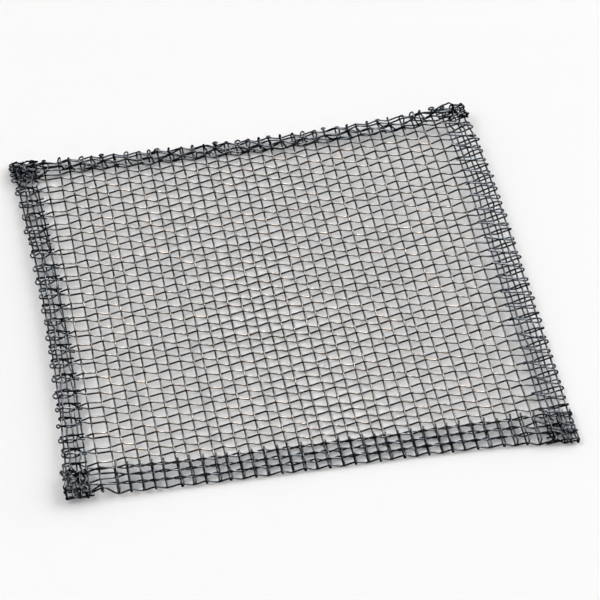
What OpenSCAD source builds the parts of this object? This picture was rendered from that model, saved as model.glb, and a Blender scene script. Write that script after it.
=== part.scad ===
// Square of woven wire gauze, hemmed on all four sides.
// Straight warp wires run front to back and crimped weft wires run side to side, over and under them in turn.
// The side hems are folded up and over first, and the front and back hems are folded over them.

/* [Gauze] */
// Finished width over the side folds
gauze_w = 125; // [90:1:160]
// Finished depth over the front and back folds
gauze_d = 125; // [90:1:160]
// Diameter of the wire
wire_d = 0.3; // [0.2:0.01:0.4]

/* [Weave] */
// Spacing of the warp wires, evened out to fill the width
warp_pitch = 3; // [2.4:0.05:4]
// Spacing of the weft wires, evened out to fill the depth
weft_pitch = 2.55; // [2.1:0.05:4]
// How far a wire may stray from its even place
stray_reach = 0.28; // [0:0.01:0.3]
// Air left where two wires cross
weave_gap = 0.04; // [0.02:0.005:0.05]
// Distance from the corner of a bend to where the wire runs straight again
bend_reach = 0.25; // [0.2:0.01:0.3]

/* [Hems] */
// Warp wires folded over in each side hem
side_hem_wires = 2; // [1:1:3]
// Weft wires folded over in the front hem and in the back hem
end_hem_wires = 3; // [1:1:4]
// Length of the cut ends past the last hem wire
cut_end = 1.1; // [0.6:0.1:1.4]
// Air left between one folded layer and the next
layer_gap = 0.05; // [0.02:0.01:0.2]
// How unevenly the wires turn back at a fold
fold_stray = 0.3; // [0:0.05:0.3]
// How unevenly the folded wires lie beside the ones below them
hem_stray = 0.5; // [0:0.05:0.7]
// Sideways drift of the folded wires for each millimetre of hem
hem_slant = 0.08; // [0:0.01:0.12]

/* [Shape of the sheet] */
// How far the left hem is drawn in at its middle
left_draw = 2.2; // [0:0.1:3]
// How far the right hem is drawn in at its middle
right_draw = 0.3; // [0:0.1:3]
// How far the back hem is drawn in at its middle
back_draw = 1.3; // [0:0.1:3]
// How far each corner curls up from the table
back_left_lift = 0.2; // [0:0.1:5]
// The sheet is twisted, so the back right and front left corners stand highest
back_right_lift = 4; // [0:0.1:5]
// Front left corner
front_left_lift = 1.3; // [0:0.1:5]
// Front right corner
front_right_lift = 0.1; // [0:0.1:5]

/* [Hidden] */
$fn = 24;
// Nodes that share out the warp wires and the weft wires
WARP_NODES = 23;
WEFT_NODES = 28;

// A bend is a hair thicker than the straights that end inside it
bend_skin = 0.01;
bend_lap = 0.02;
bend_d = wire_d + 2 * bend_skin;
// Turns of less than this many degrees are left straight
least_turn = 0.05;
// The two corners of a turn back over a fold: their reach, and the most of the climb that each takes
turn_reach = 0.35;
turn_share = 0.42;
// Middle of the outermost wire to the middle of the turn round it, and from there to the crease
fold_hug = 0.5;
crease_step = 0.2;
// Straight run of a weft wire across the outermost warp wire, inwards of it
edge_run = 0.3;
// A drawn-in hem squeezes this much of the sheet behind it, from the wires next to the crease
draw_depth = 10;
draw_edge = 1;
// Points along a warp wire that follow a drawn-in hem
warp_steps = 8;

// Middle of a crimped wire above the middle of the sheet, and what the rounding of a bend takes off it
crest = wire_d + weave_gap;
bend_sag = bend_reach * tan(atan(2 * crest / warp_pitch) / 2);
// A cut end slopes back towards the middle of the sheet as steeply as the rest of the wire
end_rise = (crest + bend_sag) * (1 - 2 * cut_end / warp_pitch);
layer_step = 2 * crest + bend_d + layer_gap;
// Middle of the bottom layer above the table
rest_height = crest + bend_d / 2;

half_w = gauze_w / 2;
half_d = gauze_d / 2;
turn_x = half_w - bend_d / 2;
turn_y = half_d - bend_d / 2;

// The sheet is folded just outside a wire on every side
edge_u = turn_x - fold_stray - fold_hug;
edge_v = turn_y - fold_stray - fold_hug;
crease_x = edge_u + crease_step;
crease_y = edge_v + crease_step;
warp_cells = round(2 * edge_u / warp_pitch);
weft_cells = round(2 * edge_v / weft_pitch);
warp_space = 2 * edge_u / warp_cells;
weft_space = 2 * edge_v / weft_cells;
warps = warp_cells + 1 + 2 * side_hem_wires;
wefts = weft_cells + 1 + 2 * end_hem_wires;
last_u = edge_u + side_hem_wires * warp_space;
last_v = edge_v + end_hem_wires * weft_space;

// How far the hems reach inwards from the crease
side_hem = last_u - crease_x + cut_end + fold_stray;
end_hem = last_v - crease_y + cut_end + fold_stray;
// The front and back hems climb from one layer to three before they reach the side hems
climb_run = 3.5 * warp_space;
climb_start = crease_x - side_hem - 0.3 * warp_space - climb_run;
// The wires of a hem lie evenly near the corners and loosen over this length
loosen_run = 10;

function two_digits(n) = str(n < 10 ? "0" : "", n);
function warp_name(k) = str("warp_wires_", two_digits(k + 1));
function weft_name(k) = str("weft_wires_", two_digits(k + 1));

// ---------- Plain vector helpers ----------
function unit(v) = v / norm(v);
function turn_between(a, b) = acos(max(-1, min(1, a * b)));
function across(d) = unit(cross(d, abs(d[0]) < 0.7 ? [1, 0, 0] : [0, 1, 0]));
function within(t) = max(0, min(1, t));
function place(p) = [p[0], p[1], p[2]];
function reach(p) = p[3];

// An uneven wave between -1 and 1, the same each time
function stray(n) = (sin(n * 137.5) + sin(n * 59.3 + 40)) / 2;

// ---------- The woven sheet, before it is folded: u runs across it and v along it ----------
function free_of(a, crease, hem) = crease - abs(a) > hem + 1 ? 1 : 0;
function even_u(i) = (i - (warps - 1) / 2) * warp_space;
function even_v(j) = (j - (wefts - 1) / 2) * weft_space;
function warp_u(i) = even_u(i) + free_of(even_u(i), crease_x, side_hem) * stray_reach * stray(i);
function weft_v(j) = even_v(j) + free_of(even_v(j), crease_y, end_hem) * stray_reach * stray(j + 200);

// ---------- The same sheet folded and drawn in ----------
function middle(a, crease) = 1 - pow(min(1, abs(a) / crease), 2);
function beyond(a, crease) = max(0, abs(a) - crease);
function folded(a, crease) = abs(a) - 2 * beyond(a, crease);
function near_crease(a, crease) = within(1 - (crease - draw_edge - abs(a)) / draw_depth);
function side_draw(u) = u < 0 ? left_draw : right_draw;
function end_draw(v) = v < 0 ? 0 : back_draw;
function loosened(a, crease, hem) = within((crease - hem - climb_run - abs(a)) / loosen_run);

// Folded wires lie beside the ones that they are folded over
function drift(a, past, crease, hem) =
    past == 0 ? 0 : hem_slant * past * middle(a, crease) + hem_stray * stray(7 * a) * loosened(a, crease, hem);

function plan_x(u, v) =
    sign(u) * (folded(u, crease_x) - side_draw(u) * middle(v, crease_y) * near_crease(u, crease_x))
    + drift(u, beyond(v, crease_y), crease_x, side_hem);
function plan_y(u, v) =
    sign(v) * (folded(v, crease_y) - end_draw(v) * middle(u, crease_x) * near_crease(v, crease_y))
    + drift(v, beyond(u, crease_x), crease_y, end_hem);

// Layers below a place on the sheet: the side hems lie on the sheet, the front and back hems on both
function climb(u) = within((abs(u) - climb_start) / climb_run);
function layer(u, v) =
    beyond(v, crease_y) == 0
        ? (beyond(u, crease_x) > 0 ? 1 : 0)
        : (beyond(u, crease_x) > 0 ? 2 : 1 + 2 * climb(u));
function face_up(u, v) = (beyond(u, crease_x) > 0) == (beyond(v, crease_y) > 0) ? 1 : -1;

// The sheet lies in a shallow trough whose four corners curl up by different amounts
function lift(x, y) =
    let (
        front = x < 0 ? front_left_lift : front_right_lift,
        back = x < 0 ? back_left_lift : back_right_lift
    )
    pow(x / half_w, 2) * (front + (back - front) * (y / gauze_d + 0.5));
function height(x, y, layers) = rest_height + lift(x, y) + layers * layer_step;

// ---------- Paths of the wires, as corners [x, y, z, reach of the bend] ----------
function corner(x, y, layers, bend, rise = 0) = [x, y, height(x, y, layers) + rise, bend];
function sheet_point(u, v, rise = 0) = corner(plan_x(u, v), plan_y(u, v), layer(u, v), bend_reach, rise);
function turn_bend(climb) = min(turn_reach, turn_share * abs(climb));

// Over one wire and under the next, turned over with the sheet at each fold
function side_up(i, j) = ((i + j) % 2 == 0 ? 1 : -1) * face_up(warp_u(i), weft_v(j));
function crossing(i, j) = sheet_point(warp_u(i), weft_v(j), side_up(i, j) * (crest + bend_sag));

// Weft: across the outermost warp wire i, round it, and back over the fold
function side_turn(i, j) =
    let (
        u = warp_u(i),
        v = weft_v(j),
        side = sign(u),
        past = side * (crease_x + 1),
        x = side * (turn_x - side_draw(u) * middle(v, crease_y) - fold_stray * abs(stray(j + 50 * side))),
        rise = side_up(i, j) * crest,
        bend = turn_bend((layer(past, v) - layer(u, v)) * layer_step - rise)
    )
    [
        corner(plan_x(u, v) - side * edge_run, plan_y(u, v), layer(u, v), bend_reach, rise),
        corner(x, plan_y(u, v), layer(u, v), bend, rise),
        corner(x, plan_y(past, v), layer(past, v), bend)
    ];

function weft_end(j, side) =
    sheet_point(
        side * (last_u + cut_end + fold_stray * stray(3 * j + side)),
        weft_v(j),
        side_up(side < 0 ? 0 : warps - 1, j) * end_rise
    );

function weft_path(j) =
    let (
        first = side_hem_wires,
        last = warps - 1 - side_hem_wires,
        left = side_turn(first, j),
        right = side_turn(last, j)
    )
    concat(
        [weft_end(j, -1)],
        [for (i = [0:first - 1]) crossing(i, j)],
        [left[2], left[1], left[0]],
        [for (i = [first + 1:last - 1]) crossing(i, j)],
        right,
        [for (i = [last + 1:warps - 1]) crossing(i, j)],
        [weft_end(j, 1)]
    );

// Warp: the two corners where it turns back at the front or back fold
function end_turn(i, side) =
    let (
        u = warp_u(i),
        flat = side * edge_v,
        past = side * (crease_y + 1),
        turn_v = turn_y - fold_stray * abs(stray(i + 30 * side)),
        x = plan_x(u, flat),
        y = side * (turn_v - end_draw(side) * middle(u, crease_x)),
        bend = turn_bend((layer(u, past) - layer(u, flat)) * layer_step)
    )
    [
        corner(x, y, layer(u, flat), bend),
        corner(x + drift(u, crease_y - turn_v, crease_x, side_hem), y, layer(u, past), bend)
    ];

function warp_end(i, side) = sheet_point(warp_u(i), side * (last_v + cut_end + fold_stray * stray(5 * i + side)));

function warp_path(i) =
    let (front = end_turn(i, -1), back = end_turn(i, 1))
    concat(
        [warp_end(i, -1), front[1], front[0]],
        [for (k = [1:warp_steps - 1]) sheet_point(warp_u(i), (2 * k / warp_steps - 1) * edge_v)],
        [back[0], back[1], warp_end(i, 1)]
    );

// ---------- A wire as straight rods and round bends ----------
function heading(path, k) = unit(place(path[k + 1]) - place(path[k]));
function straightened(path) =
    [
        for (k = [0:len(path) - 1])
            if (k == 0 || k == len(path) - 1 || turn_between(heading(path, k - 1), heading(path, k)) > least_turn)
                path[k]
    ];

// Rods are [start, end] and bends are [corner, heading in, heading out]
function wire(path) =
    let (last = len(path) - 1)
    concat(
        [
            for (k = [0:last - 1])
                let (d = heading(path, k))
                [
                    place(path[k]) + (k == 0 ? 0 : reach(path[k]) - bend_lap) * d,
                    place(path[k + 1]) - (k == last - 1 ? 0 : reach(path[k + 1]) - bend_lap) * d
                ]
        ],
        [for (k = [1:last - 1]) [path[k], heading(path, k - 1), heading(path, k)]]
    );

module in_frame(origin, x, y, z) {
    multmatrix([
        [x[0], y[0], z[0], origin[0]],
        [x[1], y[1], z[1], origin[1]],
        [x[2], y[2], z[2], origin[2]]
    ]) children();
}

module rod(start, end) {
    d = unit(end - start);
    x = across(d);
    in_frame(start, x, cross(d, x), d) cylinder(h = norm(end - start), d = wire_d);
}

module bend(at, heading_in, heading_out) {
    angle = turn_between(heading_in, heading_out);
    radius = reach(at) / tan(angle / 2);
    centre = place(at) + unit(heading_out - heading_in) * radius / cos(angle / 2);
    x = unit(place(at) - heading_in * reach(at) - centre);
    z = unit(cross(heading_in, heading_out));
    in_frame(centre, x, cross(z, x), z)
        rotate_extrude(angle = angle) translate([radius, 0]) circle(d = bend_d);
}

module wires(paths) {
    color("slategray")
        for (piece = [for (path = paths) each wire(straightened(path))])
            if (len(piece) == 2) rod(piece[0], piece[1]);
            else bend(piece[0], piece[1], piece[2]);
}

// The wires are shared out among the nodes in order, from the left and from the front
function share(k, nodes, count) = [for (n = [round(k * count / nodes):round((k + 1) * count / nodes) - 1]) n];

module warp_wires(k) wires([for (i = share(k, WARP_NODES, warps)) warp_path(i)]);

module weft_wires(k) wires([for (j = share(k, WEFT_NODES, wefts)) weft_path(j)]);

for (k = [0:WARP_NODES - 1])
    warp_wires(k);
for (k = [0:WEFT_NODES - 1])
    weft_wires(k);
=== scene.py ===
"""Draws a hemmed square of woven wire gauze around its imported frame, wire by wire, in metres."""

import math
import random
from collections import namedtuple

import bmesh
import bpy
from bpy.props import FloatProperty, FloatVectorProperty, IntProperty, PointerProperty
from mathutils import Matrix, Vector, noise


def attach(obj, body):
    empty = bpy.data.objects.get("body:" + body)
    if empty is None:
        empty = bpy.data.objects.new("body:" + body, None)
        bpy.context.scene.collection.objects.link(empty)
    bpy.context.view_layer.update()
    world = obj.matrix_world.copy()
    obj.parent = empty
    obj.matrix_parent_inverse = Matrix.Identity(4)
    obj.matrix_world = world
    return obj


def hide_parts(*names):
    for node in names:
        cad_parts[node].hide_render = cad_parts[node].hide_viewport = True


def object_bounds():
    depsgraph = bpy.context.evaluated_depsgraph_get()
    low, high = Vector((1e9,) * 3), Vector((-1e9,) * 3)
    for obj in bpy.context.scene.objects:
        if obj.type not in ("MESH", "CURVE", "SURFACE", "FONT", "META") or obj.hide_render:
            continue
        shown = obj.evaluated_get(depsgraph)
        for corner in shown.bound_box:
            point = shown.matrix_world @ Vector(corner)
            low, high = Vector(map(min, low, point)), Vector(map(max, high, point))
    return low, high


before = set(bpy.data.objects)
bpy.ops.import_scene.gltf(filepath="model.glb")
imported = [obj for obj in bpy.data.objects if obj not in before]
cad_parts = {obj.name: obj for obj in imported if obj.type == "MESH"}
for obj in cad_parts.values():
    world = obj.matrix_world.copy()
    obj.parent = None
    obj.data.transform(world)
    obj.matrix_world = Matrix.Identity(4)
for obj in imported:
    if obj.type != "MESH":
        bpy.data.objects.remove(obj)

bl_info = {
    "name": "Wire Gauze",
    "version": (1, 0, 0),
    "blender": (4, 5, 0),
    "location": "View3D > Sidebar > Gauze",
    "description": "Draws the woven wires of a hemmed bench gauze and gives them a drawn steel finish",
    "category": "Object",
}

CAD_LOW, CAD_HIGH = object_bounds()
BODY = "root"
WARP_PREFIX = "warp_wires_"
WEFT_PREFIX = "weft_wires_"
MM = 0.001
UP = Vector((0, 0, 1))
ACROSS, ALONG = 0, 1

# How the folded wires of one hem lie on the sheet below them. Lengths are in metres.
# width: share of its flat width that the flap keeps
# rise: step up to the flap
# cut: length of the cut ends past the last crossing
# slide: how far every wire that turns back has slid along the hem
# slide_uneven: a random part of that slide, which differs from wire to wire
# slant: the slide added for each metre of flap
# slip: how far the wires that run along the hem have slipped across it
# slip_uneven: height of the slow waves in that slip
# mess: random stray of every crossing in the hem
# tangle: the stray added in the corners, read from the side hems
# nth, proud, loop: every nth turn stands out by proud, in an open loop of radius loop where that isn't 0
# pinch: how far neighbouring wires are drawn together in pairs where the flap ends
# squeeze: how far the sheet below the flap's end is drawn towards the fold
Hem = namedtuple(
    "Hem",
    "width rise cut slide slide_uneven slant slip slip_uneven mess tangle nth proud loop pinch squeeze",
)
HEMS = {
    "left": Hem(
        width=0.9, rise=0.55 * MM, cut=1.5 * MM, slide=0.45 * MM, slide_uneven=0.6 * MM, slant=-0.13,
        slip=-1.0 * MM, slip_uneven=0.4 * MM, mess=0.36 * MM, tangle=0.85 * MM, nth=2, proud=0.8 * MM,
        loop=0.52 * MM, pinch=1.05 * MM, squeeze=0.9 * MM,
    ),
    "right": Hem(
        width=1.0, rise=0.6 * MM, cut=2.3 * MM, slide=0.45 * MM, slide_uneven=0.5 * MM, slant=-0.03,
        slip=-0.8 * MM, slip_uneven=0.35 * MM, mess=0.24 * MM, tangle=0.3 * MM, nth=3, proud=0.3 * MM,
        loop=0.0, pinch=0.35 * MM, squeeze=0.0,
    ),
    "front": Hem(
        width=1.0, rise=0.45 * MM, cut=1.4 * MM, slide=0.3 * MM, slide_uneven=0.25 * MM, slant=0.0,
        slip=-0.12 * MM, slip_uneven=0.2 * MM, mess=0.12 * MM, tangle=0.0, nth=2, proud=0.15 * MM,
        loop=0.0, pinch=0.0, squeeze=0.0,
    ),
    "back": Hem(
        width=0.62, rise=0.5 * MM, cut=0.6 * MM, slide=0.3 * MM, slide_uneven=0.5 * MM, slant=0.08,
        slip=0.2 * MM, slip_uneven=0.6 * MM, mess=0.42 * MM, tangle=0.0, nth=5, proud=0.5 * MM,
        loop=0.4 * MM, pinch=0.2 * MM, squeeze=0.0,
    ),
}


# ---------- What a user would change ----------


class GauzeWeave(bpy.types.PropertyGroup):
    """The wires and how they cross."""

    wire_d: FloatProperty(
        name="Wire diameter", description="Diameter of every wire", default=0.44 * MM, unit="LENGTH"
    )
    warp_pitch: FloatProperty(
        name="Warp pitch", description="Spacing of the wires that run front to back",
        default=3 * MM, unit="LENGTH"
    )
    weft_pitch: FloatProperty(
        name="Weft pitch", description="Spacing of the wires that run side to side",
        default=2.55 * MM, unit="LENGTH"
    )
    stray: FloatProperty(
        name="Stray", description="How far a wire lies from its even place", default=0.28 * MM, unit="LENGTH"
    )
    wander: FloatProperty(
        name="Wander", description="How far a wire waves along its length", default=0.14 * MM, unit="LENGTH"
    )
    wander_length: FloatProperty(
        name="Wander length", description="Length of those waves", default=14 * MM, unit="LENGTH"
    )
    crossing_gap: FloatProperty(
        name="Crossing gap", description="Air between two wires where they cross",
        default=0.015 * MM, unit="LENGTH"
    )
    warp_share: FloatProperty(
        name="Warp's share", description="Share of the crimp that the warp wires take",
        default=0.18, subtype="FACTOR"
    )
    knuckle: FloatProperty(
        name="Knuckle", description="How far a bend spreads along each side of a crossing",
        default=0.24, subtype="FACTOR"
    )
    lean: FloatProperty(
        name="Lean", description="How far a knuckle leans towards the stretch that climbs to the right",
        default=0.22, subtype="FACTOR"
    )


class GauzeHems(bpy.types.PropertyGroup):
    """The folded edges."""

    side_wires: IntProperty(
        name="Side hem wires", description="Warp wires folded over in a side hem", default=2
    )
    end_wires: IntProperty(
        name="End hem wires", description="Weft wires folded over at front and back", default=3
    )
    flap_end: FloatProperty(
        name="Flap end", description="From the last wire of a flap to its end",
        default=1.1 * MM, unit="LENGTH"
    )
    fold_stray: FloatProperty(
        name="Fold stray", description="How unevenly the wires turn back", default=0.15 * MM, unit="LENGTH"
    )
    fold_hug: FloatProperty(
        name="Fold hug", description="From the outermost wire to the turn round it",
        default=0.42 * MM, unit="LENGTH"
    )
    crease_step: FloatProperty(
        name="Crease step", description="From the outermost wire to the crease",
        default=0.2 * MM, unit="LENGTH"
    )
    end_lift: FloatProperty(
        name="End lift", description="How far a cut end springs up", default=0.35 * MM, unit="LENGTH"
    )
    crush: FloatProperty(
        name="Corner crush", description="Share of its thickness that a corner keeps",
        default=0.6, subtype="FACTOR"
    )


class GauzeShape(bpy.types.PropertyGroup):
    """The lie of the whole sheet."""

    left_draw: FloatProperty(
        name="Left draw", description="How far the left hem is drawn in", default=2.2 * MM, unit="LENGTH"
    )
    right_draw: FloatProperty(
        name="Right draw", description="How far the right hem is drawn in", default=0.0, unit="LENGTH"
    )
    back_draw: FloatProperty(
        name="Back draw", description="How far the back hem is drawn in", default=1.3 * MM, unit="LENGTH"
    )
    draw_depth: FloatProperty(
        name="Draw depth", description="Depth of sheet that a drawn hem squeezes",
        default=10 * MM, unit="LENGTH"
    )
    back_lift: FloatVectorProperty(
        name="Back lift", description="Rise of the back left and back right corners", size=2,
        default=(0.2 * MM, 4 * MM), unit="LENGTH"
    )
    front_lift: FloatVectorProperty(
        name="Front lift", description="Rise of the front left and front right corners", size=2,
        default=(1.3 * MM, 0.1 * MM), unit="LENGTH"
    )
    back_left_pull: FloatVectorProperty(
        name="Back left pull", description="How far this corner is pulled out of square", size=2,
        default=(0, -0.6 * MM), unit="LENGTH"
    )
    back_right_pull: FloatVectorProperty(
        name="Back right pull", description="How far this corner is pulled out of square", size=2,
        default=(-2.2 * MM, -1.8 * MM), unit="LENGTH"
    )
    front_left_pull: FloatVectorProperty(
        name="Front left pull", description="How far this corner is pulled out of square", size=2,
        default=(0, -0.6 * MM), unit="LENGTH"
    )
    front_right_pull: FloatVectorProperty(
        name="Front right pull", description="How far this corner is pulled out of square", size=2,
        default=(0, -2.7 * MM), unit="LENGTH"
    )
    sprung: FloatVectorProperty(
        name="Sprung wire", description="How far one wire stands off the back right corner", size=3,
        default=(0, 0.7 * MM, 0.6 * MM), unit="LENGTH"
    )
    right_bulge: FloatProperty(
        name="Right bulge", description="How far the right hem stands out at its middle",
        default=0.3 * MM, unit="LENGTH"
    )
    left_arch: FloatProperty(
        name="Left arch", description="Rise of the left hem's middle over its ends",
        default=0.6 * MM, unit="LENGTH"
    )
    buckle: FloatProperty(
        name="Buckle", description="Height of the slow waves in the sheet",
        default=0.25 * MM, unit="LENGTH"
    )
    buckle_length: FloatProperty(
        name="Buckle length", description="Length of the slow waves in the sheet",
        default=22 * MM, unit="LENGTH"
    )


class GauzeSteel(bpy.types.PropertyGroup):
    """The finish of the wires, and the painted shade in their hems."""

    dark: FloatVectorProperty(
        name="Dark", description="Colour of the oxide on the drawn wire", subtype="COLOR",
        default=(0.016, 0.0145, 0.0131)
    )
    grey: FloatVectorProperty(
        name="Grey", description="Colour where the steel shows through", subtype="COLOR",
        default=(0.056, 0.054, 0.051)
    )
    straw: FloatVectorProperty(
        name="Straw", description="Colour of the warmer stains", subtype="COLOR",
        default=(0.058, 0.050, 0.043)
    )
    # Painted shade: the hems' wire gets this darker, bluish colour in place of the shade that their folded
    # layers throw on each other
    blued: FloatVectorProperty(
        name="Shade_in_hems", description="Colour of the wire in the hems", subtype="COLOR",
        default=(0.0112, 0.0126, 0.0142)
    )
    edge: FloatVectorProperty(
        name="Edge", description="Tint of the wire seen at a slant", subtype="COLOR",
        default=(0.1, 0.1, 0.102)
    )
    roughness: FloatProperty(
        name="Roughness", description="Roughness of the wire", default=0.235, subtype="FACTOR"
    )


class GauzeStage(bpy.types.PropertyGroup):
    """Floor, lamps and camera."""

    floor: FloatVectorProperty(
        name="Floor", description="Colour of the table", subtype="COLOR",
        default=(0.93, 0.926, 0.927)
    )
    sky: FloatProperty(name="Sky", description="Light from the whole room", default=0.40)
    azimuth: FloatProperty(
        name="Camera azimuth", description="Where the camera stands, in degrees", default=-10.2
    )
    elevation: FloatProperty(
        name="Camera elevation", description="Height of the camera, in degrees", default=43.3
    )
    distance: FloatProperty(
        name="Camera distance", description="Distance to the target", default=0.762, unit="LENGTH"
    )
    target: FloatVectorProperty(
        name="Camera target", description="Place that the camera looks at",
        default=(4.8 * MM, -2.4 * MM, 0), unit="LENGTH"
    )
    lens: FloatProperty(name="Lens", description="Focal length in millimetres", default=180.0)


GROUPS = {
    "gauze_weave": GauzeWeave,
    "gauze_hems": GauzeHems,
    "gauze_shape": GauzeShape,
    "gauze_steel": GauzeSteel,
    "gauze_stage": GauzeStage,
}


# ---------- The woven sheet ----------

# Two waves stray the wires, here as in the frame: degrees from one wire to the next, and the second's start
STRAY_STEPS = (137.5, 59.3)
STRAY_START = 40
# The wefts read the strays and the waves further along than the warps
WEFT_STRAY_OFFSET = 200
WEFT_WAVE_OFFSET = 100
# Smooth noise rarely passes 1 / NOISE_REACH, and each key reads a row of its own in one layer of it
NOISE_REACH = 1.6
NOISE_ROW, NOISE_ROW_START, NOISE_LAYER = 31.7, 0.5, 7.3
# The waves in which the hems slip: the first hem's key, the step to the next hem's, and their length
SLIP_KEY_START, SLIP_KEY_STEP = 3, 5
SLIP_WAVE = 16 * MM
# Wires nearer than this to a hem lie at their even places
HEM_MARGIN = 1 * MM
# A drawn-in hem moves whole from this far inside its crease
DRAW_MARGIN = 1 * MM
# Length over which the tangle of a corner fades out
CORNER_FADE = 4.5 * MM
# Share of a flap's uneven slide that is lost where the flap ends
SETTLED = 0.6
# Cells over which an end flap climbs onto a side hem, and cells from there to the side hem's end
CLIMB_CELLS, CLIMB_MARGIN_CELLS = 3.5, 0.3
# How steeply the pull of a corner and the bulge of a side fade inwards
PULL_POWER, BULGE_POWER = 4, 3
# Cells over which a pinch fades out inside a hem
PINCH_CELLS = 2
# Share of a crossing's mess that goes upwards
MESS_RISE = 0.2


def stray(n):
    """An uneven wave between -1 and 1, the same one that spaces the frame's wires."""
    first, second = STRAY_STEPS
    return (math.sin(math.radians(n * first)) + math.sin(math.radians(n * second + STRAY_START))) / 2


def uneven(*key):
    """A number between -1 and 1 that belongs to this key."""
    return random.Random(repr(key)).uniform(-1, 1)


def wave(key, at, length):
    """A smooth wave between about -1 and 1 along a wire. Each key has its own."""
    return NOISE_REACH * noise.noise(Vector((at / length, NOISE_ROW * key + NOISE_ROW_START, NOISE_LAYER)))


def within(t):
    return max(0.0, min(1.0, t))


class Sheet:
    """Where the wires cross. The sheet is folded at its creases, both ACROSS and ALONG."""

    def __init__(self, weave, hems, shape):
        self.weave, self.hems, self.shape = weave, hems, shape
        # From the middle, both ways: the box, the tips of the turns, the outermost wires and the creases
        self.half = [(CAD_HIGH[a] - CAD_LOW[a]) / 2 for a in (ACROSS, ALONG)]
        self.turn = [h - weave.wire_d / 2 for h in self.half]
        self.edge = [t - hems.fold_stray - hems.fold_hug for t in self.turn]
        self.crease = [e + hems.crease_step for e in self.edge]
        pitches = (weave.warp_pitch, weave.weft_pitch)
        cells = [round(2 * e / p) for e, p in zip(self.edge, pitches)]
        self.space = [2 * e / c for e, c in zip(self.edge, cells)]
        self.hem_wires = (hems.side_wires, hems.end_wires)
        self.count = [c + 1 + 2 * w for c, w in zip(cells, self.hem_wires)]
        # The flat place of each flap's last wire, and from the crease to the flap's end
        last_wire = [e + w * s for e, w, s in zip(self.edge, self.hem_wires, self.space)]
        self.flap = [
            last - crease + hems.flap_end + hems.fold_stray for last, crease in zip(last_wire, self.crease)
        ]
        self.apart = weave.wire_d + weave.crossing_gap
        self.climb_run = CLIMB_CELLS * self.space[ACROSS]
        climb_end = self.crease[ACROSS] - self.flap[ACROSS] - CLIMB_MARGIN_CELLS * self.space[ACROSS]
        self.climb_start = climb_end - self.climb_run

    # Places on the flat sheet

    def even(self, axis, n):
        return (n - (self.count[axis] - 1) / 2) * self.space[axis]

    def place_of(self, axis, n):
        """Where wire n of this axis lies on the flat sheet."""
        at = self.even(axis, n)
        free = self.crease[axis] - abs(at) > self.flap[axis] + HEM_MARGIN
        return at + (self.weave.stray * stray(n + WEFT_STRAY_OFFSET * axis) if free else 0)

    def past(self, axis, at):
        """How far this place lies past its crease."""
        return max(0.0, abs(at) - self.crease[axis])

    def side(self, axis, at):
        """The name of the hem on this side of the middle."""
        return (("left", "right"), ("front", "back"))[axis][at > 0]

    # The same places once the sheet is folded

    def drawn_in(self, axis, at, other):
        """How far a drawn-in hem has moved this place towards the middle."""
        shape = self.shape
        most = {"left": shape.left_draw, "right": shape.right_draw, "front": 0.0, "back": shape.back_draw}
        near = within(1 - (self.crease[axis] - DRAW_MARGIN - abs(at)) / shape.draw_depth)
        middle = 1 - min(1.0, abs(other) / self.crease[1 - axis]) ** 2
        return most[self.side(axis, at)] * middle * near

    def corner_share(self, at):
        """1 where both hems lie on each other, fading out within a few wires."""
        inside = [abs(at[a]) - (self.crease[a] - self.flap[a]) for a in (ACROSS, ALONG)]
        shares = [within(far / CORNER_FADE + 0.5) for far in inside]
        return shares[0] * shares[1]

    def folded(self, axis, at, other):
        """The plan coordinate of a place, and what its fold moves it by along the other axis."""
        past = self.past(axis, at)
        name = self.side(axis, at)
        hem = HEMS[name]
        inwards = abs(at) - (1 + hem.width) * past - self.drawn_in(axis, at, other)
        if past == 0:
            return math.copysign(inwards, at), 0.0
        slip = hem.slip + hem.slip_uneven * wave(self.slip_key(name), other, SLIP_WAVE)
        wire = round(other / self.space[1 - axis])
        loose = 1 - SETTLED * within(past / self.flap[axis])
        slide = hem.slide + hem.slide_uneven * uneven(name, wire) * loose + hem.slant * past
        return math.copysign(inwards - slip, at), slide

    @staticmethod
    def slip_key(name):
        return sorted(HEMS).index(name) * SLIP_KEY_STEP + SLIP_KEY_START

    def climb(self, across):
        """How far an end flap has climbed onto a side hem, from 0 to 1."""
        return within((abs(across) - self.climb_start) / self.climb_run)

    def stacked(self, at):
        """Height of this place above the sheet that lies on the table."""
        side, end = self.past(ACROSS, at[0]) > 0, self.past(ALONG, at[1]) > 0
        side_rise, end_rise = HEMS[self.side(ACROSS, at[0])].rise, HEMS[self.side(ALONG, at[1])].rise
        height = side_rise if side else 0.0
        if end:
            # The side hem's flap turns over with the end flap, so the sheet on top climbs over two such flaps
            height += end_rise if side else end_rise + 2 * side_rise * self.climb(at[0])
        return height * (1 - (1 - self.hems.crush) * self.corner_share(at))

    def lift(self, x, y):
        """The sheet lies in a shallow trough with four uneven corners, and has slow waves in it."""
        shape, right = self.shape, int(x > 0)
        front, back = shape.front_lift[right], shape.back_lift[right]
        trough = front + (back - front) * (y / (2 * self.half[ALONG]) + 0.5)
        if not right:
            trough += shape.left_arch * within(1 - (y / self.half[ALONG]) ** 2)
        waves = noise.noise(Vector((x, y, 0)) / shape.buckle_length) + 0.5
        return (x / self.half[ACROSS]) ** 2 * trough + shape.buckle * within(waves)

    def pulled(self, x, y):
        """How far a place is pulled out of square, most at the corners and at the middle of the right hem."""
        shape, s, t = self.shape, x / self.half[ACROSS], y / self.half[ALONG]
        left = (shape.front_left_pull, shape.back_left_pull)
        right = (shape.front_right_pull, shape.back_right_pull)
        corner = (left, right)[s > 0][t > 0]
        near = min(1.0, (s * t) ** PULL_POWER)
        bulge = shape.right_bulge * max(0.0, s) ** BULGE_POWER * (1 - min(1.0, t * t))
        return Vector((corner[0] * near + bulge, corner[1] * near, 0))

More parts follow.
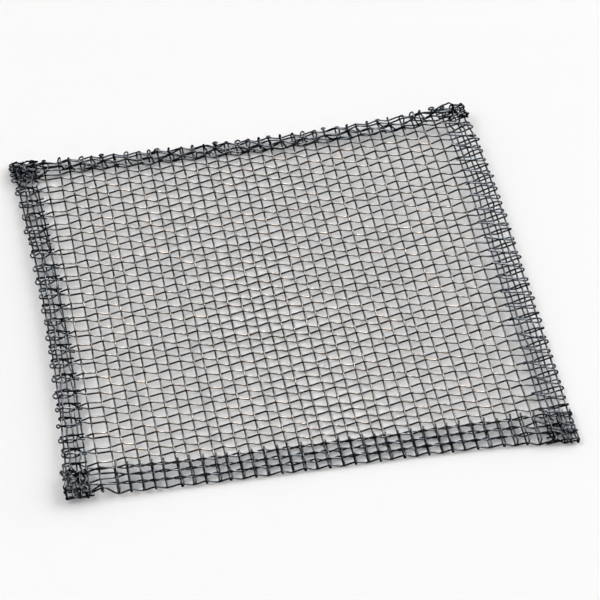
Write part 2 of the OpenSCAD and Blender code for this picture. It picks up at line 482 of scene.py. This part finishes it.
    def point(self, at, rise=0.0):
        """The place in space of a point of the flat sheet, with rise above the middle of its layer."""
        x, slide_y = self.folded(ACROSS, at[0], at[1])
        y, slide_x = self.folded(ALONG, at[1], at[0])
        x, y = x + slide_x, y + slide_y
        base = self.apart + self.weave.wire_d / 2
        return Vector((x, y, base + self.lift(x, y) + self.stacked(at) + rise)) + self.pulled(x, y)

    # Crossings

    def weft_up(self, i, j):
        """1 where weft j passes over warp i, seen from above, and -1 where it passes under."""
        at = (self.even(ACROSS, i), self.even(ALONG, j))
        turned = (self.past(ACROSS, at[0]) > 0) != (self.past(ALONG, at[1]) > 0)
        return (1 if (i + j) % 2 == 0 else -1) * (-1 if turned else 1)

    def crossing(self, i, j):
        """The flat place where warp i and weft j cross."""
        weave = self.weave
        u, v = self.place_of(ACROSS, i), self.place_of(ALONG, j)
        u += weave.wander * wave(i, v, weave.wander_length)
        v += weave.wander * wave(j + WEFT_WAVE_OFFSET, u, weave.wander_length)
        v += HEMS[self.side(ACROSS, u)].pinch * self.pinched(ACROSS, u) * (1 if j % 2 == 0 else -1)
        u += HEMS[self.side(ALONG, v)].pinch * self.pinched(ALONG, v) * (1 if i % 2 == 0 else -1)
        if self.past(ACROSS, u) == 0:
            u += math.copysign(HEMS[self.side(ACROSS, u)].squeeze, u) * self.pinched(ACROSS, u)
        return u, v

    def pinched(self, axis, at):
        """1 where the flap ends, 0 at the fold, and 0 again a few cells inside the hem."""
        from_fold = abs(self.crease[axis] - abs(at)) / self.flap[axis]
        if from_fold < 1:
            return from_fold ** 2
        inside = self.crease[axis] - self.flap[axis] - abs(at)
        return within(1 - inside / (PINCH_CELLS * self.space[axis]))

    def knot(self, axis, i, j):
        """Where the wire of this axis passes the crossing of warp i and weft j."""
        at = self.crossing(i, j)
        share = self.weave.warp_share
        rise = self.weft_up(i, j) * self.apart * ((1 - share) if axis == ALONG else -share)
        place = self.point(at, rise)
        messes = [HEMS[self.side(a, at[a])].mess for a in (ACROSS, ALONG) if self.past(a, at[a]) > 0]
        if messes:
            loose = max(messes) + HEMS[self.side(ACROSS, at[0])].tangle * self.corner_share(at)
            x, y, z = (uneven("mess", axis, i, j, k) for k in range(3))
            place += loose * Vector((x, y, MESS_RISE * z))
        return place


# ---------- Wires ----------

# How far a bend spreads along each side of its knot, in a turn and in the slack wire of a corner
TURN_SPREAD, SLACK_SPREAD = 0.36, 0.34
# A wire has slack where the corner's share passes SLACK_FROM, at these shares of the way between two crossings.
# SLACK_RISE is the share of its stray that goes upwards
SLACK_FROM = 0.5
SLACK_AT = (0.33, 0.67)
SLACK_RISE = 0.3
# The radius of a plain turn is at most this share of the room that it has
ROUND_SHARE = 0.8
# An open loop: how far each knot has come up the step, and how many radii it lies behind the tip and to the side
LOOP_KNOTS = ((0.4, 2.2, -0.2), (0.4, 1.0, 1.0), (0.5, 0.0, 0.0), (0.6, 1.0, -1.0), (0.6, 2.2, 0.2))
# How much broader than round a loop is, and how unevenly large the loops are
LOOP_BREADTH = 1.3
LOOP_UNEVEN = 0.25
# The knots of the sprung weft that stand off, next to its right-hand cut end
SPRUNG = slice(-4, -1)
# How finely a wire is cut, along a span between two knots and round its section
SPAN_STEPS, ROUND_STEPS = 4, 2


def turn_knots(outward, inner, outer, reach, loop):
    """The knots of a turn that leaves the sheet at inner and comes back over the fold to outer."""
    step = (outer - inner) - outward * (outer - inner).dot(outward)
    if loop:
        aside = Vector((-outward.y, outward.x, 0)) * loop * LOOP_BREADTH
        flat = inner - outward * inner.dot(outward)
        return [
            flat + step * up + outward * (reach - behind * loop) + aside * out for up, behind, out in LOOP_KNOTS
        ]
    radius = min(step.length / 2, ROUND_SHARE * (reach - inner.dot(outward)))
    start = inner + outward * (reach - radius - inner.dot(outward))
    end = start + step
    return [start, (start + end) / 2 + outward * radius, end]


def wire_knots(sheet, axis, n):
    """The knots of wire n, from one cut end to the other, each with how far its bend spreads."""
    other = 1 - axis
    hem, count = sheet.hem_wires[other], sheet.count[other]
    knuckle = sheet.weave.knuckle

    def at(k):
        return sheet.knot(axis, k, n) if axis == ALONG else sheet.knot(axis, n, k)

    def run(first, last):
        """The crossings from first to last, with a slack bend between two that lie in a corner."""
        knots = []
        for k in range(first, last + 1):
            flat = sheet.crossing(k, n) if axis == ALONG else sheet.crossing(n, k)
            share = sheet.corner_share(flat)
            if knots and share > SLACK_FROM:
                most = HEMS[sheet.side(ACROSS, flat[0])].tangle * share
                before, after = knots[-1][0], at(k)
                for t in SLACK_AT:
                    x, y, z = (uneven("slack", axis, n, k, c, t) for c in range(3))
                    bend = Vector((x, y, SLACK_RISE * z)) * most
                    knots.append((before.lerp(after, t) + bend, SLACK_SPREAD))
            knots.append((at(k), knuckle))
        return knots

    def cut_end(k, side):
        """The wire's end, straight on from crossing k and sprung up a little."""
        last, before = at(k), at(k - side)
        heading = (last - before).normalized()
        length = HEMS[sheet.side(other, side)].cut + sheet.hems.fold_stray * uneven("cut", axis, n, side)
        spring = sheet.hems.end_lift * abs(uneven("spring", axis, n, side))
        return last + heading * length + UP * spring

    def turn(k, side):
        """The turn between crossing k, the last of the sheet, and the first of the flap."""
        inner, outer = at(k), at(k + side)
        outward = Vector((side, 0, 0)) if axis == ALONG else Vector((0, side, 0))
        hem = HEMS[sheet.side(other, side)]
        draw = sheet.drawn_in(other, side * sheet.edge[other], sheet.place_of(axis, n))
        rim = (side * sheet.half[ACROSS], inner.y) if axis == ALONG else (inner.x, side * sheet.half[ALONG])
        pull = sheet.pulled(*rim).dot(outward)
        reach = sheet.turn[other] - draw + pull - sheet.hems.fold_stray * abs(uneven("turn", axis, n, side))
        stands_out = n % hem.nth == 0
        reach += hem.proud * (1 + uneven("proud", axis, n, side)) / 2 if stands_out else 0
        loop = hem.loop * (1 + LOOP_UNEVEN * uneven("loop", axis, n, side)) if stands_out else 0
        return turn_knots(outward, inner, outer, reach, loop)

    first, last = hem, count - 1 - hem
    knots = [(cut_end(0, -1), knuckle)]
    knots += run(0, hem - 1)
    knots += [(place, TURN_SPREAD) for place in reversed(turn(first, -1))]
    knots += run(first, last)
    knots += [(place, TURN_SPREAD) for place in turn(last, 1)]
    knots += run(last + 1, count - 1)
    knots += [(cut_end(count - 1, 1), knuckle)]
    back_weft = sheet.count[ALONG] - 1 - sheet.hem_wires[ALONG]
    if axis == ALONG and n == back_weft:
        spring = Vector(sheet.shape.sprung)
        knots[SPRUNG] = [(place + spring, spread) for place, spread in knots[SPRUNG]]
    return knots


def lay_wire(curve, knots, lean):
    """Adds a spline through the knots, bent most where it passes them."""
    places = [place for place, _ in knots]
    spline = curve.splines.new("BEZIER")
    spline.bezier_points.add(len(knots) - 1)
    for k, (place, spread) in enumerate(knots):
        before = place - places[max(k - 1, 0)]
        after = places[min(k + 1, len(places) - 1)] - place
        # Only a crossing leans, and its bend is tighter than a slack one
        leans = spread < SLACK_SPREAD and before.z * after.z < 0
        tilt = math.copysign(lean if leans else 0.0, before.z)
        heading = (before.normalized() * (1 + tilt) + after.normalized() * (1 - tilt)).normalized()
        point = spline.bezier_points[k]
        point.handle_left_type = point.handle_right_type = "FREE"
        point.co = place
        point.handle_left = place - heading * before.length * spread
        point.handle_right = place + heading * after.length * spread


def share_out(node_number, nodes, wires):
    """The wires that this node holds, counted from the left or the front."""
    # part.scad rounds halves up
    first = math.floor(node_number * wires / nodes + 0.5)
    after = math.floor((node_number + 1) * wires / nodes + 0.5)
    return range(first, after)


def draw_wires(sheet, axis, prefix, steel):
    """Draws each frame node's wires as round wire, and puts the piece in the node's place."""
    nodes = sorted(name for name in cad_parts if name.startswith(prefix))
    if not nodes:
        raise RuntimeError(f"the frame has no nodes named {prefix}")
    for number, node in enumerate(nodes):
        curve = bpy.data.curves.new(node + "_line", "CURVE")
        curve.dimensions = "3D"
        curve.resolution_u = SPAN_STEPS
        curve.bevel_depth = sheet.weave.wire_d / 2
        curve.bevel_resolution = ROUND_STEPS
        curve.use_fill_caps = True
        for n in share_out(number, len(nodes), sheet.count[axis]):
            lay_wire(curve, wire_knots(sheet, axis, n), sheet.weave.lean if axis == ALONG else 0.0)
        line = bpy.data.objects.new(node + "_line", curve)
        bpy.context.scene.collection.objects.link(line)
        mesh = bpy.data.meshes.new_from_object(line)
        bpy.data.objects.remove(line)
        bpy.data.curves.remove(curve)
        mesh.shade_smooth()
        mesh.materials.clear()
        mesh.materials.append(steel)
        piece = bpy.data.objects.new(node + "_drawn", mesh)
        bpy.context.scene.collection.objects.link(piece)
        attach(piece, BODY)
        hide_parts(node)


# ---------- Steel ----------

STEEL_NAME = "drawn_steel_wire"
# Patches of the finish: size, and the two noise values between which they fade in
RUBBED = (1.3 * MM, 0.42, 0.72)
STAINED = (4.5 * MM, 0.52, 0.7)
# From the middle of the sheet to where the painted shade of the hems starts and to where it is full
HEM_SHADE_SPAN = (51 * MM, 56 * MM)
# How much paler the painted shade of the hems is where the wire has rubbed
RUBBED_HEM_SHADE = 2.4


def steel_material(look):
    """Dark drawn steel wire, paler where it has rubbed, with straw-coloured stains, and with painted bluish
    shade in the hems, where the folded layers lie on each other.
    """
    material = bpy.data.materials.new(STEEL_NAME)
    material.use_nodes = True
    nodes, links = material.node_tree.nodes, material.node_tree.links
    shader = nodes["Principled BSDF"]
    shader.inputs["Metallic"].default_value = 1.0
    shader.inputs["Specular Tint"].default_value = (*look.edge, 1)
    shader.inputs["Roughness"].default_value = look.roughness
    where = nodes.new("ShaderNodeTexCoord")

    def patches(size, low, high):
        pattern = nodes.new("ShaderNodeTexNoise")
        pattern.inputs["Scale"].default_value = 1 / size
        pattern.inputs["Detail"].default_value = 3
        ramp = nodes.new("ShaderNodeValToRGB")
        ramp.color_ramp.elements[0].position = low
        ramp.color_ramp.elements[1].position = high
        links.new(where.outputs["Object"], pattern.inputs["Vector"])
        links.new(pattern.outputs["Fac"], ramp.inputs["Fac"])
        return ramp.outputs["Color"]

    def mixed(factor, a, b):
        mix = nodes.new("ShaderNodeMix")
        mix.data_type = "RGBA"
        links.new(factor, mix.inputs["Factor"])
        for socket, value in ((mix.inputs["A"], a), (mix.inputs["B"], b)):
            if isinstance(value, bpy.types.NodeSocket):
                links.new(value, socket)
            else:
                socket.default_value = (*value, 1)
        return mix.outputs["Result"]

    def near_hems(start, full):
        """0 in the middle of the sheet and 1 in its hems, where the painted shade is full."""
        parts = nodes.new("ShaderNodeSeparateXYZ")
        links.new(where.outputs["Object"], parts.inputs["Vector"])
        sizes = []
        for name in ("X", "Y"):
            size = nodes.new("ShaderNodeMath")
            size.operation = "ABSOLUTE"
            links.new(parts.outputs[name], size.inputs[0])
            sizes.append(size)
        most = nodes.new("ShaderNodeMath")
        most.operation = "MAXIMUM"
        for n, size in enumerate(sizes):
            links.new(size.outputs["Value"], most.inputs[n])
        step = nodes.new("ShaderNodeMapRange")
        step.interpolation_type = "SMOOTHSTEP"
        step.inputs["From Min"].default_value = start
        step.inputs["From Max"].default_value = full
        links.new(most.outputs["Value"], step.inputs["Value"])
        return step.outputs["Result"]

    rubbed, stained = patches(*RUBBED), patches(*STAINED)
    plain = mixed(stained, mixed(rubbed, look.dark, look.grey), look.straw)
    # Painted shade for the hems, paler where the wire has rubbed
    blued = mixed(rubbed, look.blued, [RUBBED_HEM_SHADE * channel for channel in look.blued])
    # The painted shade fades in towards the hems, so their wire is darker and bluer than the rest
    links.new(mixed(near_hems(*HEM_SHADE_SPAN), plain, blued), shader.inputs["Base Color"])
    return material


# ---------- Stage ----------

# Half the floor's side, and its finish
FLOOR_HALF = 4.0
FLOOR_ROUGHNESS, FLOOR_SHINE = 0.9, 0.1
# The camera's sensor, in millimetres, and the nearest and farthest that it sees, in metres
SENSOR_WIDTH = 36.0
CLIP = (0.01, 20.0)


def aim(thing, place, target):
    thing.location = place
    thing.rotation_mode = "QUATERNION"
    thing.rotation_quaternion = (target - place).to_track_quat("-Z", "Y")


def direction(azimuth, elevation):
    """The unit vector towards a stand at this azimuth, from the front, and elevation, in degrees."""
    a, e = math.radians(azimuth), math.radians(elevation)
    return Vector((math.sin(a) * math.cos(e), -math.cos(a) * math.cos(e), math.sin(e)))


def lay_floor(stage):
    grid = bmesh.new()
    bmesh.ops.create_grid(grid, x_segments=1, y_segments=1, size=FLOOR_HALF)
    mesh = bpy.data.meshes.new("table_top")
    grid.to_mesh(mesh)
    grid.free()
    material = bpy.data.materials.new("table_white")
    material.use_nodes = True
    shader = material.node_tree.nodes["Principled BSDF"]
    shader.inputs["Base Color"].default_value = (*stage.floor, 1)
    shader.inputs["Roughness"].default_value = FLOOR_ROUGHNESS
    shader.inputs["Specular IOR Level"].default_value = FLOOR_SHINE
    mesh.materials.append(material)
    floor = bpy.data.objects.new("table_top", mesh)
    bpy.context.scene.collection.objects.link(floor)


def light_sky(stage):
    world = bpy.data.worlds.new("studio")
    bpy.context.scene.world = world
    world.use_nodes = True
    background = world.node_tree.nodes["Background"]
    background.inputs["Color"].default_value = (1, 1, 1, 1)
    background.inputs["Strength"].default_value = stage.sky


# place: where the box hangs
# size: its width and length
# share: how brightly it would make a white floor shine
# aimed: it faces the middle of the sheet, and otherwise straight down
# shadow: it throws shadows
# floor, metal: it lights the floor, and the steel mirrors it
SoftBox = namedtuple("SoftBox", "place size share colour aimed shadow floor metal")
SOFT_BOXES = {
    "window": SoftBox(
        place=(2.61, 0.465, 1.41), size=(3.3, 3.3), share=0.46, colour=(1.0, 0.998, 0.996),
        aimed=True, shadow=True, floor=True, metal=True,
    ),
    "fill": SoftBox(
        place=(-1.5, -0.6, 2.2), size=(1.5, 1.5), share=0.275, colour=(1.0, 1.0, 1.0),
        aimed=False, shadow=False, floor=True, metal=False,
    ),
    "strip": SoftBox(
        place=(1.3, 0.65, 2.0), size=(0.9, 2.9), share=4.4, colour=(1.0, 0.975, 0.95),
        aimed=False, shadow=True, floor=False, metal=True,
    ),
    "back": SoftBox(
        place=(0.77, 1.36, 1.55), size=(1.4, 0.5), share=2.2, colour=(1.0, 0.99, 0.98),
        aimed=True, shadow=True, floor=False, metal=True,
    ),
}


def light_soft_boxes():
    for name, box in SOFT_BOXES.items():
        place = Vector(box.place)
        # A white floor shines with P h / (pi^2 d^3) below a small box of power P at distance d and height h,
        # and with another h / d less where the box faces straight down
        steep = place.z / place.length
        lamp = bpy.data.lights.new(name, "AREA")
        lamp.shape = "RECTANGLE"
        lamp.size, lamp.size_y = box.size
        lamp.energy = box.share * (math.pi * place.length) ** 2 / (steep if box.aimed else steep**2)
        lamp.color = box.colour
        lamp.use_shadow = box.shadow
        stand = bpy.data.objects.new(name, lamp)
        stand.visible_diffuse = box.floor
        stand.visible_glossy = box.metal
        bpy.context.scene.collection.objects.link(stand)
        aim(stand, place, Vector((0, 0, 0)) if box.aimed else place - UP)


def stand_camera(stage):
    data = bpy.data.cameras.new("camera")
    data.lens = stage.lens
    data.sensor_width = SENSOR_WIDTH
    data.clip_start, data.clip_end = CLIP
    camera = bpy.data.objects.new("camera", data)
    bpy.context.scene.collection.objects.link(camera)
    target = Vector(stage.target)
    aim(camera, target + direction(stage.azimuth, stage.elevation) * stage.distance, target)
    bpy.context.scene.camera = camera


# ---------- Operators ----------


def sheet_of(scene):
    return Sheet(scene.gauze_weave, scene.gauze_hems, scene.gauze_shape)


def steel_of(scene):
    return bpy.data.materials.get(STEEL_NAME) or steel_material(scene.gauze_steel)


class GAUZE_OT_stage(bpy.types.Operator):
    """Lays the table and sets the lamps and the camera"""

    bl_idname = "gauze.stage"
    bl_label = "Stage"

    def execute(self, context):
        stage = context.scene.gauze_stage
        context.scene.view_settings.view_transform = "Standard"
        lay_floor(stage)
        light_sky(stage)
        light_soft_boxes()
        stand_camera(stage)
        return {"FINISHED"}


class GAUZE_OT_warp_wires(bpy.types.Operator):
    """Draws the wires that run front to back"""

    bl_idname = "gauze.warp_wires"
    bl_label = "Warp wires"

    def execute(self, context):
        draw_wires(sheet_of(context.scene), ACROSS, WARP_PREFIX, steel_of(context.scene))
        return {"FINISHED"}


class GAUZE_OT_weft_wires(bpy.types.Operator):
    """Draws the wires that run side to side"""

    bl_idname = "gauze.weft_wires"
    bl_label = "Weft wires"

    def execute(self, context):
        draw_wires(sheet_of(context.scene), ALONG, WEFT_PREFIX, steel_of(context.scene))
        return {"FINISHED"}


class GAUZE_PT_panel(bpy.types.Panel):
    """Lists the steps"""

    bl_label = "Wire Gauze"
    bl_space_type = "VIEW_3D"
    bl_region_type = "UI"
    bl_category = "Gauze"

    def draw(self, context):
        for step in STEPS:
            self.layout.operator(step.bl_idname)
        for name in GROUPS:
            box = self.layout.box()
            group = getattr(context.scene, name)
            for key in group.__annotations__:
                box.prop(group, key)


STEPS = (GAUZE_OT_warp_wires, GAUZE_OT_weft_wires, GAUZE_OT_stage)
CLASSES = (*GROUPS.values(), *STEPS, GAUZE_PT_panel)


def register():
    for cls in CLASSES:
        bpy.utils.register_class(cls)
    for name, group in GROUPS.items():
        setattr(bpy.types.Scene, name, PointerProperty(type=group))


def unregister():
    for name in GROUPS:
        delattr(bpy.types.Scene, name)
    for cls in reversed(CLASSES):
        bpy.utils.unregister_class(cls)


def main():
    register()
    bpy.ops.gauze.warp_wires()
    bpy.ops.gauze.weft_wires()
    bpy.ops.gauze.stage()


if __name__ == "__main__":
    main()
